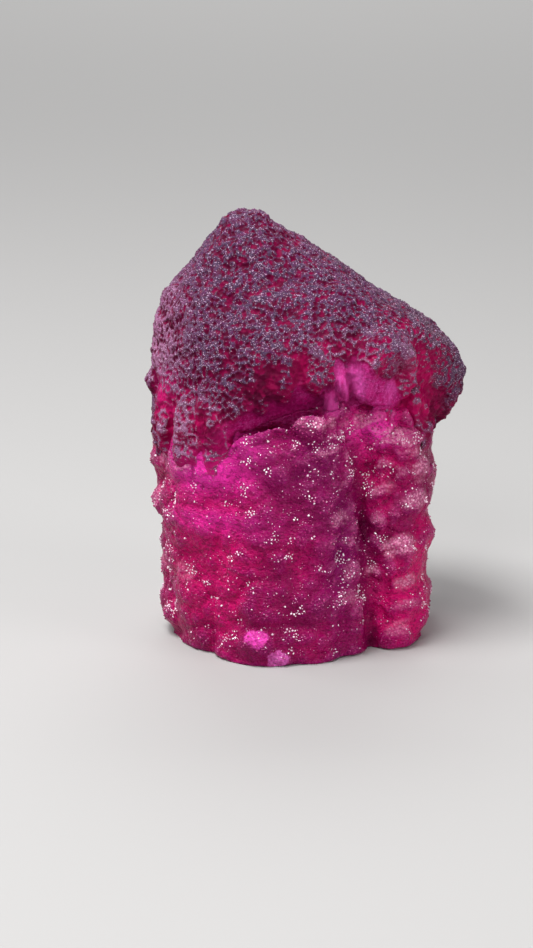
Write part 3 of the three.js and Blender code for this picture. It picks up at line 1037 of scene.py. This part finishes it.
def colorGroup(name, inputs):
    # an empty shader group with colour inputs of those names and one colour output
    group = bpy.data.node_groups.new(name, "ShaderNodeTree")
    for label in inputs:
        group.interface.new_socket(label, in_out="INPUT", socket_type="NodeSocketColor")
    group.interface.new_socket("Color", in_out="OUTPUT", socket_type="NodeSocketColor")
    given, result = group.nodes.new("NodeGroupInput"), group.nodes.new("NodeGroupOutput")
    return group, given.outputs, result.inputs["Color"]


def brokenGroup(look):
    # fresh breaks: streaked and mottled crimson, with painted lilac sheen in places and painted shade in
    # the hollow
    group, given, result = colorGroup("brokenFace", ["Fresh", "Lilac", "Walled"])
    streaks = pattern(group, noiseAt, look["streaks"], detail=3, stretch=look["streakStretch"])
    mottle = pattern(group, noiseAt, look["mottle"], detail=3, distortion=0.6)
    specks = pattern(group, noiseAt, look["specks"], detail=1)
    masks = zip((streaks, mottle, specks), look["shares"])
    streaks, mottle, specks = [times(group, mask, share) for mask, share in masks]
    # the mottle's dark tone is the colour of the hollow's painted shade
    color = mixColor(group, mottle, given["Fresh"], given["Walled"])
    # painted lilac sheen in the lilac spots, and lilac streaks and specks
    pale = math2(group, "ADD", stored(group, "lilac"), streaks)
    color = mixColor(group, pale, color, given["Lilac"])
    color = mixColor(group, specks, color, given["Lilac"])
    # painted shade deep in the hollow
    color = mixColor(group, stored(group, "walled"), color, given["Walled"])
    group.links.new(color, result)
    return group


def frostGroup(look):
    # the cap's frost, bluer in specks, greyer and darker with painted shade on the flanks turned from the
    # light, and pinker and paler with painted light where the light falls
    group, given, result = colorGroup("capFrost", ["Pale", "Cold", "Dull", "Blush"])
    cold = pattern(group, noiseAt, look["cold"])
    color = mixColor(group, cold, given["Pale"], given["Cold"])
    # painted shade: greyer, darker frost on the flanks turned from the light
    color = mixColor(group, stored(group, "dull"), color, given["Dull"])
    # painted light: pinker, paler frost where the crust faces the lamps
    color = mixColor(group, stored(group, "blush"), color, given["Blush"])
    group.links.new(color, result)
    return group


def placed(tree, group, look):
    # the group in this material, with the look's colours
    node = tree.nodes.new("ShaderNodeGroup")
    node.node_tree = group
    for socket in node.inputs:
        socket.default_value = (*look[socket.name.lower()], 1)
    return node.outputs["Color"]


def druseMaterial(look, broken):
    material, tree, shader = newMaterial("rubelliteDruse", look["rough"], look["shine"])
    crown, up, shares = stored(tree, "crown"), stored(tree, "up"), look["shares"]
    # the red, with its lights and darks
    patches = times(tree, pattern(tree, noiseAt, look["patches"]), shares["patches"])
    # the clear spots, one of them painted light on the beads under the lobe
    patches = math2(tree, "ADD", patches, stored(tree, "clear"))
    color = mixColor(tree, patches, look["deep"], look["bright"])
    color = mixColor(tree, stored(tree, "violet"), color, look["violet"])
    crest = times(tree, ramp(tree, crown, *look["crestAt"]), shares["crest"])
    color = mixColor(tree, crest, color, look["crest"])
    # painted glow where light comes through from behind
    color = mixColor(tree, stored(tree, "glow"), color, look["glow"])
    # creases, and flecks of painted sheen
    base, onCrown = look["creased"]
    leather = pattern(tree, leatherAt, look["leather"])
    creased = math2(tree, "SUBTRACT", base, times(tree, crown, onCrown))
    color = mixColor(tree, times(tree, leather, creased), color, look["crease"])
    base, onCrown = look["sheenFlecked"]
    scales = pattern(tree, leatherAt, look["scales"])
    sheenFlecked = math2(tree, "ADD", times(tree, crown, onCrown), base)
    color = mixColor(tree, times(tree, scales, sheenFlecked), color, look["sheenFleck"])
    # painted shade darkening the groove between the main stem and the right column
    grooved = times(tree, stored(tree, "grooved"), shares["groove"])
    color = mixColor(tree, grooved, color, look["crease"])
    # painted sheen on the beads: the reflection of the light from above, painted on crowns that face up
    base, onCell = look["celled"]
    cells = times(tree, pattern(tree, cellsAt, look["cells"]), onCell)
    cells = math2(tree, "ADD", cells, base)
    frosted = times(tree, stored(tree, "frosted"), ramp(tree, up, *look["frostedAndSheenedUp"]))
    frosted = times(tree, times(tree, frosted, shares["frostAndSheen"]), cells)
    color = mixColor(tree, frosted, color, look["frostAndSheen"])
    # breaks, the chipped patch and the nodule
    color = mixColor(tree, stored(tree, "fresh"), color, placed(tree, broken, look))
    sugar = times(tree, pattern(tree, noiseAt, look["sugar"]), shares["sugar"])
    for name in ("chip", "nodule"):
        patch = math2(tree, "SUBTRACT", stored(tree, name), sugar)
        color = mixColor(tree, patch, color, look[name])
    tree.links.new(color, shader.inputs["Base Color"])
    fill(shader, look["spread"])
    size, height, strength = look["beads"]
    normal = bump(tree, cellsAt(tree, size), height, strength)
    size, height, strength = look["wrinkles"]
    normal = bump(tree, leatherAt(tree, size), height, strength, normal)
    tree.links.new(normal, shader.inputs["Normal"])
    return material


def crustMaterial(look, broken, frosting):
    material, tree, shader = newMaterial("rubelliteCrust", look["rough"], look["shine"])
    tip, up, fresh = [stored(tree, name) for name in ("tip", "up", "fresh")]
    shares = look["shares"]
    # the frost, with dark creases and bright points of painted highlight
    frostAndSheen = placed(tree, frosting, look)
    dark = mixColor(tree, shares["creases"], frostAndSheen, look["low"])
    frostAndSheen = mixColor(tree, pattern(tree, cellsAt, look["creases"]), frostAndSheen, dark)
    # painted highlights as bright points
    bright = times(tree, pattern(tree, noiseAt, look["points"], detail=1), shares["points"])
    frostAndSheen = mixColor(tree, bright, frostAndSheen, look["bright"])
    # the red under it
    redder = times(tree, pattern(tree, noiseAt, look["redder"]), shares["redder"])
    clear = math2(tree, "ADD", stored(tree, "clear"), redder)
    ground = mixColor(tree, clear, look["low"], look["clear"])
    # painted glow where light comes through from behind
    ground = mixColor(tree, stored(tree, "glow"), ground, look["glow"])
    ground = mixColor(tree, fresh, ground, placed(tree, broken, look))
    # where it is frosted
    bare = times(tree, stored(tree, "bare"), shares["bare"])
    frosted = ramp(tree, math2(tree, "SUBTRACT", tip, bare), *look["frostedTip"])
    frosted = times(tree, frosted, ramp(tree, up, *look["frostedAndSheenedUp"]))
    frosted = math2(tree, "SUBTRACT", frosted, fresh)
    tree.links.new(mixColor(tree, frosted, ground, frostAndSheen), shader.inputs["Base Color"])
    fill(shader, look["spread"])
    size, height, strength = look["grit"]
    tree.links.new(bump(tree, noiseAt(tree, size), height, strength), shader.inputs["Normal"])
    return material


def grainMaterial(look, frosting):
    material, tree, shader = newMaterial("rubelliteGrain", look["grainRough"], look["grainShine"])
    tip, tone = stored(tree, "tip"), stored(tree, "tone")
    color = placed(tree, frosting, look)
    dark = mixColor(tree, look["shares"]["grainFoot"], color, look["low"])
    darker, brighter = look["grainTones"]
    color = mixColor(tree, ramp(tree, tone, *darker), dark, color)
    # the brightest grains are painted glints
    color = mixColor(tree, ramp(tree, tone, *brighter), color, look["bright"])
    color = mixColor(tree, ramp(tree, tip, *look["grainTip"]), color, dark)
    tree.links.new(color, shader.inputs["Base Color"])
    return material


def crystalMaterial(name, look):
    material, tree, shader = newMaterial(name, look["rough"], look["shine"])
    color = mixColor(tree, stored(tree, "tone"), look["dark"], look["light"])
    tree.links.new(color, shader.inputs["Base Color"])
    return material


rubellite = makeStone(stone)
crustForm, crustHalves = makeCrust(crustCoat)
rubellite.data.materials.clear()
broken, frosting = brokenGroup(brokenFace), frostGroup(capFrost)
rubellite.data.materials.append(druseMaterial(finish["druse"], broken))
skin = crustMaterial(finish["crust"], broken, frosting)
for half in crustHalves:
    half.data.materials.clear()
    half.data.materials.append(skin)

prismGrains, bladeGrains = makeGrains("prism", prisms), makeGrains("blade", blades)
grainSkin = grainMaterial(finish["crust"], frosting)
crystalSkin = crystalMaterial("rubelliteCrystal", finish["crystal"])
paintedGlintSkin = crystalMaterial("rubelliteSparkle", finish["sparkle"])
paintedFineGlintSkin = crystalMaterial("rubelliteDust", finish["dust"])
crustCrystals = grow(crustGrowth, crustForm.data, bladeGrains, grainSkin)
druseCrystals = grow(druseGrowth, rubellite.data, prismGrains, crystalSkin)
sparkleCrystals = grow(paintedGlintGrowth, rubellite.data, prismGrains, paintedGlintSkin)
dustCrystals = grow(paintedFineGlintGrowth, rubellite.data, prismGrains, paintedFineGlintSkin)
bpy.data.objects.remove(crustForm)

pieces = [rubellite, *crustHalves, crustCrystals, druseCrystals, sparkleCrystals, dustCrystals]
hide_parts("rubellite")
for piece in pieces:
    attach(piece, "root")
print("rubellite dressed")


# floor and light

studio = {
    "floor": (0.40, 0.395, 0.39),
    "floorHalf": 6,
    "floorRough": 0.7,
    "floorIor": 1.45,
    "air": ((0.80, 0.81, 0.84), 0.16),
    "lamps": [
        # name, place, aim, size, watts, colour
        ("overhead", (-0.12, -0.10, 0.42), (0, 0, 0.025), 0.16, 2.2, (1, 1, 1)),
        ("leftRim", (-0.38, 0.12, 0.22), (0, 0, 0.025), 0.20, 0.5, (1, 0.97, 0.98)),
        ("rightRim", (0.36, -0.22, 0.10), (0, 0, 0.015), 0.16, 0.9, (1, 0.97, 0.98)),
        ("front", (-0.14, -0.40, 0.34), (0, 0, 0.025), 0.16, 0.9, (1, 1, 1)),
        ("backdrop", (0, 1.0, 0.8), (0, 1.0, 0), 0.9, 10, (1, 1, 1)),
    ],
}


def addStudio(studio):
    bed = bmesh.new()
    bmesh.ops.create_grid(bed, x_segments=1, y_segments=1, size=studio["floorHalf"])
    mesh = bpy.data.meshes.new("floor")
    bed.to_mesh(mesh)
    bed.free()
    floor = linked("floor", mesh)
    material, tree, shader = newMaterial("paleFloor", studio["floorRough"], 0.5, studio["floorIor"])
    fill(shader, {"Base Color": (*studio["floor"], 1)})
    mesh.materials.append(material)

    world = bpy.data.worlds.new("air")
    world.use_nodes = True
    sky = world.node_tree.nodes["Background"]
    color, strength = studio["air"]
    fill(sky, {"Color": (*color, 1), "Strength": strength})
    scene.world = world

    for name, place, aim, size, watts, color in studio["lamps"]:
        lamp = bpy.data.lights.new(name, "AREA")
        lamp.size = size
        lamp.energy = watts
        lamp.color = color
        holder = bpy.data.objects.new(name, lamp)
        holder.location = place
        holder.rotation_euler = (Vector(aim) - Vector(place)).to_track_quat("-Z", "Y").to_euler()
        scene.collection.objects.link(holder)


addStudio(studio)
print("studio lit")
